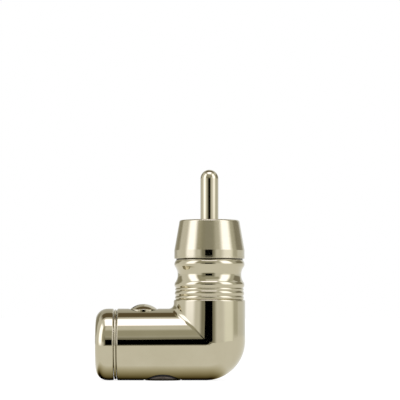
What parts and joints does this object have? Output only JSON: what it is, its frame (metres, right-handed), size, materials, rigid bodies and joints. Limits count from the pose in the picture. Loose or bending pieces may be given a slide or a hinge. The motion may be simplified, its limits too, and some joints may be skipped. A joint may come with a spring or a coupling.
{
  "type": "right-angle phono plug",
  "caption": "Right-angle phono plug with a round-nosed pin, tapered locking collar, ribbed neck, mitred elbow, cable clamp screw, underside port and gland nut.",
  "frame": {"origin": "on the pin's axis at the locking collar's front face, where a socket's face meets the plug", "axes": "+Z along the pin towards its nose; the arm runs along -X to the cable entry; Y is across, and the plug is symmetric about Y = 0 apart from the screw slots"},
  "size_m": [0.0265, 0.0126, 0.0374],
  "materials": {
    "shell_nickel": "polished",
    "neck_nickel": "polished",
    "gland_nickel": "polished",
    "collar_satin": "satin",
    "pin_nickel": "polished",
    "sleeve_nickel": "satin",
    "screw_nickel": "polished",
    "plug_black": "satin",
    "washer_nickel": "polished",
    "tag_brass": "satin",
    "insulator_white": "matte",
    "liner_amber": "gloss",
    "rubber_black": "matte"
  },
  "bodies": {
    "shell": {"elbow_housing": "shell_nickel", "ribbed_neck": "neck_nickel", "ground_sleeve": "sleeve_nickel", "front_insulator": "insulator_white", "rear_insulator": "insulator_white", "centre_pin": "pin_nickel", "pin_washer": "tag_brass", "solder_tag": "tag_brass", "pin_nut": "tag_brass", "insulating_liner": "liner_amber", "shield_tag": "tag_brass"},
    "collar_ring": {"collar_o_ring": "rubber_black"},
    "collar": {"locking_collar": "collar_satin"},
    "saddle": {"clamp_saddle": "washer_nickel"},
    "screw": {"clamp_screw": "screw_nickel"},
    "seal": {"port_seal": "rubber_black"},
    "port": {"port_plug": "plug_black"},
    "washer": {"slip_washer": "washer_nickel"},
    "gland": {"gland_nut": "gland_nickel", "cable_grommet": "rubber_black"}
  },
  "joints": [
    {"name": "collar_travel", "type": "slide", "parent": "shell", "child": "collar_ring", "axis": [0, 0, 1], "range_m": [-0.00013, 0.001]},
    {"name": "collar_turn", "type": "hinge", "parent": "collar_ring", "child": "collar", "pos_m": [0, 0, 0], "axis": [0, 0, 1], "range_deg": [-90.1, 720.2]},
    {"name": "clamp_travel", "type": "slide", "parent": "shell", "child": "saddle", "axis": [0, 0, -1], "range_m": [-0.0004, 0.0005]},
    {"name": "clamp_turn", "type": "hinge", "parent": "saddle", "child": "screw", "pos_m": [-0.0117, 0, -0.0221], "axis": [0, 0, -1], "range_deg": [-320.2, 400.2]},
    {"name": "port_travel", "type": "slide", "parent": "shell", "child": "seal", "axis": [0, 0, -1], "range_m": [0, 0.0007]},
    {"name": "port_turn", "type": "hinge", "parent": "seal", "child": "port", "pos_m": [-0.0083, 0, -0.0221], "axis": [0, 0, -1], "range_deg": [0, 720.2]},
    {"name": "gland_travel", "type": "slide", "parent": "shell", "child": "washer", "axis": [-1, 0, 0], "range_m": [0, 0.0025]},
    {"name": "gland_turn", "type": "hinge", "parent": "washer", "child": "gland", "pos_m": [0, 0, -0.0221], "axis": [-1, 0, 0], "range_deg": [0, 1800.5]}
  ],
  "couplings": [
    {"joint": "collar_turn", "follows": "collar_travel", "rad_per_m": 12566},
    {"joint": "clamp_turn", "follows": "clamp_travel", "rad_per_m": 13963},
    {"joint": "port_turn", "follows": "port_travel", "rad_per_m": 17952},
    {"joint": "gland_turn", "follows": "gland_travel", "rad_per_m": 12566}
  ]
}
